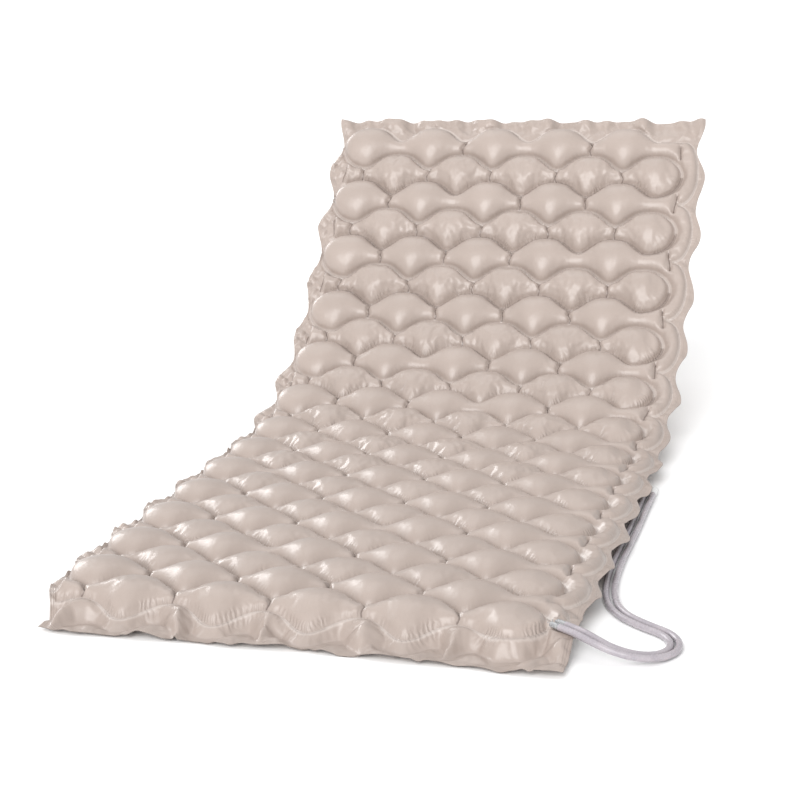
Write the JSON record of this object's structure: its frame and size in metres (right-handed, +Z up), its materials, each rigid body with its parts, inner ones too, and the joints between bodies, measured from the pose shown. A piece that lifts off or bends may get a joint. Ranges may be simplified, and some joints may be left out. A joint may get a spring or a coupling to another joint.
{
  "type": "pressure relief mattress",
  "caption": "Bubble-type alternating-pressure mattress overlay: welded film with rows of air cells, side air ducts, two air hoses, and a back section that folds up at its weld lines.",
  "frame": {"origin": "middle of the pad's footprint with the back raised as at rest, on the surface that the pad lies on", "axes": "+X across the pad towards the side with the hoses, +Y from the foot end to the head end, +Z up"},
  "size_m": [0.948, 1.706, 0.5651],
  "materials": {
    "pvc_film": "satin beige PVC film",
    "clear_pvc": "clear moulded PVC",
    "hose_pvc": "translucent milky PVC tube",
    "connector_plastic": "moulded plastic"
  },
  "bodies": {
    "foot_section": {"air_cell_row_01": "pvc_film", "air_cell_row_02": "pvc_film", "air_cell_row_03": "pvc_film", "air_cell_row_04": "pvc_film", "air_cell_row_05": "pvc_film", "air_cell_row_06": "pvc_film", "air_cell_row_07": "pvc_film", "air_cell_row_08": "pvc_film", "air_cell_row_09": "pvc_film", "air_cell_row_10": "pvc_film", "air_cell_row_11": "pvc_film", "air_cell_row_12": "pvc_film", "air_cell_row_13": "pvc_film", "right_air_duct_foot": "pvc_film", "left_air_duct_foot": "pvc_film", "foot_border": "pvc_film", "port_stub_a": "clear_pvc", "port_stub_b": "clear_pvc", "hose_a": "hose_pvc", "hose_b": "hose_pvc", "hose_connector_a": "connector_plastic", "hose_connector_b": "connector_plastic"},
    "fold_1": {"air_cell_row_14": "pvc_film", "right_air_duct_fold_1": "pvc_film", "left_air_duct_fold_1": "pvc_film"},
    "fold_2": {"air_cell_row_15": "pvc_film", "right_air_duct_fold_2": "pvc_film", "left_air_duct_fold_2": "pvc_film"},
    "fold_3": {"air_cell_row_16": "pvc_film", "right_air_duct_fold_3": "pvc_film", "left_air_duct_fold_3": "pvc_film"},
    "fold_4": {"air_cell_row_17": "pvc_film", "right_air_duct_fold_4": "pvc_film", "left_air_duct_fold_4": "pvc_film"},
    "fold_5": {"air_cell_row_18": "pvc_film", "right_air_duct_fold_5": "pvc_film", "left_air_duct_fold_5": "pvc_film"},
    "fold_6": {"air_cell_row_19": "pvc_film", "right_air_duct_fold_6": "pvc_film", "left_air_duct_fold_6": "pvc_film"},
    "fold_7": {"air_cell_row_20": "pvc_film", "right_air_duct_fold_7": "pvc_film", "left_air_duct_fold_7": "pvc_film"},
    "back_section": {"air_cell_row_21": "pvc_film", "air_cell_row_22": "pvc_film", "air_cell_row_23": "pvc_film", "air_cell_row_24": "pvc_film", "air_cell_row_25": "pvc_film", "air_cell_row_26": "pvc_film", "right_air_duct_back": "pvc_film", "left_air_duct_back": "pvc_film", "head_border": "pvc_film"}
  },
  "joints": [
    {"name": "fold_hinge_1", "type": "hinge", "parent": "foot_section", "child": "fold_1", "pos_m": [0, 0.10701, 0.028], "axis": [1, 0, 0], "range_deg": [-6, 2.5]},
    {"name": "fold_hinge_2", "type": "hinge", "parent": "fold_1", "child": "fold_2", "pos_m": [0, 0.17663, 0.03532], "axis": [1, 0, 0], "range_deg": [-6, 2.5]},
    {"name": "fold_hinge_3", "type": "hinge", "parent": "fold_2", "child": "fold_3", "pos_m": [0, 0.2451, 0.04987], "axis": [1, 0, 0], "range_deg": [-6, 2.5]},
    {"name": "fold_hinge_4", "type": "hinge", "parent": "fold_3", "child": "fold_4", "pos_m": [0, 0.31167, 0.0715], "axis": [1, 0, 0], "range_deg": [-6, 2.5]},
    {"name": "fold_hinge_5", "type": "hinge", "parent": "fold_4", "child": "fold_5", "pos_m": [0, 0.37562, 0.09997], "axis": [1, 0, 0], "range_deg": [-6, 2.5]},
    {"name": "fold_hinge_6", "type": "hinge", "parent": "fold_5", "child": "fold_6", "pos_m": [0, 0.43624, 0.13497], "axis": [1, 0, 0], "range_deg": [-6, 2.5]},
    {"name": "fold_hinge_7", "type": "hinge", "parent": "fold_6", "child": "fold_7", "pos_m": [0, 0.49287, 0.17612], "axis": [1, 0, 0], "range_deg": [-6, 2.5]},
    {"name": "fold_hinge_8", "type": "hinge", "parent": "fold_7", "child": "back_section", "pos_m": [0, 0.54489, 0.22296], "axis": [1, 0, 0], "range_deg": [-6, 2.5]}
  ]
}
